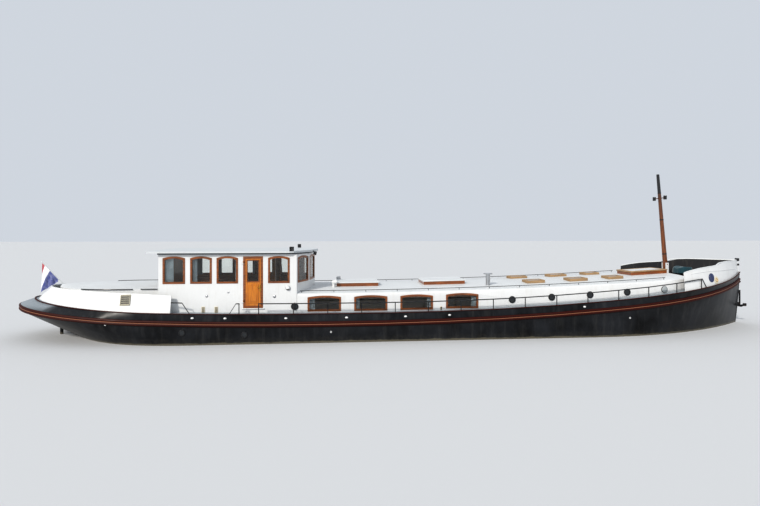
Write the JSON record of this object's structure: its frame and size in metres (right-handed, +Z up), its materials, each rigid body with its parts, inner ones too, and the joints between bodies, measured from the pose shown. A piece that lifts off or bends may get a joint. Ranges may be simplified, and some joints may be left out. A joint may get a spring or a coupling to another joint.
{
  "type": "houseboat",
  "caption": "Houseboat on a steel motor barge hull with a counter stern, wheelhouse aft, long coachroof with hatches, lowering mast and bow bulwark.",
  "frame": {"origin": "middle of the bounding box, on the plane of the flat bottom", "axes": "+X to the bow, +Y to port, +Z up"},
  "size_m": [28.218, 5.016, 7.1948],
  "materials": {
    "hull_paint": "satin",
    "red_paint": "satin",
    "white_paint": "satin",
    "roof_paint": "satin",
    "varnished_wood": "varnished",
    "window_glass": "clear",
    "grey_metal": "satin",
    "dark_steel": "painted",
    "bronze": "as cast",
    "ensign_cloth": "woven",
    "cover_cloth": "woven"
  },
  "bodies": {
    "boat": {"hull": "hull_paint", "rub_rails": "red_paint", "deck_edge_moulding": "red_paint", "aft_bulwark": "white_paint", "bow_bulwark": "white_paint", "coachroof_port": "white_paint", "coachroof_starboard": "white_paint", "coachroof_front": "white_paint", "roof_panel_aft": "white_paint", "roof_panel_middle": "white_paint", "roof_panel_fore": "white_paint", "wheelhouse_walls": "white_paint", "aft_cabin": "white_paint", "cowl_vent_port": "white_paint", "cowl_vent_starboard": "white_paint", "stove_flue": "white_paint", "tabernacle": "white_paint", "wheelhouse_roof": "roof_paint", "saloon_windows_port": "varnished_wood", "saloon_windows_starboard": "varnished_wood", "wheelhouse_windows_port": "varnished_wood", "wheelhouse_windows_starboard": "varnished_wood", "wheelhouse_windows_front": "varnished_wood", "wheelhouse_windows_aft": "varnished_wood", "saloon_hatch_aft_coaming": "varnished_wood", "saloon_hatch_fore_coaming": "varnished_wood", "fore_hatch_coaming": "varnished_wood", "wheelhouse_sole": "varnished_wood", "helm_console": "varnished_wood", "flagstaff": "varnished_wood", "railing_long_port": "grey_metal", "railing_long_starboard": "grey_metal", "railing_gate_port": "grey_metal", "railing_gate_starboard": "grey_metal", "railing_aft_port": "grey_metal", "railing_aft_starboard": "grey_metal", "grab_rail_port": "grey_metal", "grab_rail_starboard": "grey_metal", "engine": "dark_steel", "windlass": "dark_steel", "anchor": "dark_steel", "bollard_bow_port": "dark_steel", "bollard_bow_starboard": "dark_steel", "bollard_stern_port": "dark_steel", "bollard_stern_starboard": "dark_steel", "ensign": "ensign_cloth", "windlass_cover": "cover_cloth"},
    "propeller": {"propeller": "bronze"},
    "rudder": {"rudder": "hull_paint"},
    "steering_wheel": {"steering_wheel": "varnished_wood"},
    "door_port": {"door_port": "varnished_wood", "door_glass_port": "window_glass"},
    "door_starboard": {"door_starboard": "varnished_wood", "door_glass_starboard": "window_glass"},
    "mast": {"mast": "varnished_wood"},
    "saloon_hatch_aft_lid": {"saloon_hatch_aft_lid": "white_paint"},
    "saloon_hatch_fore_lid": {"saloon_hatch_fore_lid": "white_paint"},
    "fore_hatch_lid": {"fore_hatch_lid": "white_paint"}
  },
  "joints": [
    {"name": "propeller_spin", "type": "hinge", "parent": "boat", "child": "propeller", "pos_m": [-12.15, 0, 0.47], "axis": [1, 0, 0], "continuous": true},
    {"name": "rudder_turn", "type": "hinge", "parent": "boat", "child": "rudder", "pos_m": [-12.82, 0, 0.5], "axis": [0, 0, 1], "range_deg": [-35, 35]},
    {"name": "wheel_turn", "type": "hinge", "parent": "boat", "child": "steering_wheel", "pos_m": [-4.88, 0, 3.2], "axis": [1, 0, 0], "range_deg": [-280, 280]},
    {"name": "door_port_swing", "type": "hinge", "parent": "boat", "child": "door_port", "pos_m": [-5.944, 2.012, 3.1], "axis": [0, 0, 1], "range_deg": [0, 90]},
    {"name": "door_starboard_swing", "type": "hinge", "parent": "boat", "child": "door_starboard", "pos_m": [-5.944, -2.012, 3.1], "axis": [0, 0, -1], "range_deg": [0, 90]},
    {"name": "mast_lower", "type": "hinge", "parent": "boat", "child": "mast", "pos_m": [10.71, 0, 3.52], "axis": [0, 1, 0], "range_deg": [-80, 0]},
    {"name": "saloon_hatch_aft_open", "type": "hinge", "parent": "boat", "child": "saloon_hatch_aft_lid", "pos_m": [-1.97067, 0.625, 2.92627], "axis": [-1, 0, -0.0061], "range_deg": [0, 80]},
    {"name": "saloon_hatch_fore_open", "type": "hinge", "parent": "boat", "child": "saloon_hatch_fore_lid", "pos_m": [1.34295, 0.625, 2.96651], "axis": [-0.9998, 0, -0.0186], "range_deg": [0, 80]},
    {"name": "fore_hatch_open", "type": "hinge", "parent": "boat", "child": "fore_hatch_lid", "pos_m": [9.67379, 0.525, 3.27405], "axis": [-0.9984, 0, -0.0563], "range_deg": [0, 80]}
  ],
  "couplings": [
    {"joint": "wheel_turn", "follows": "rudder_turn", "ratio": 8}
  ]
}
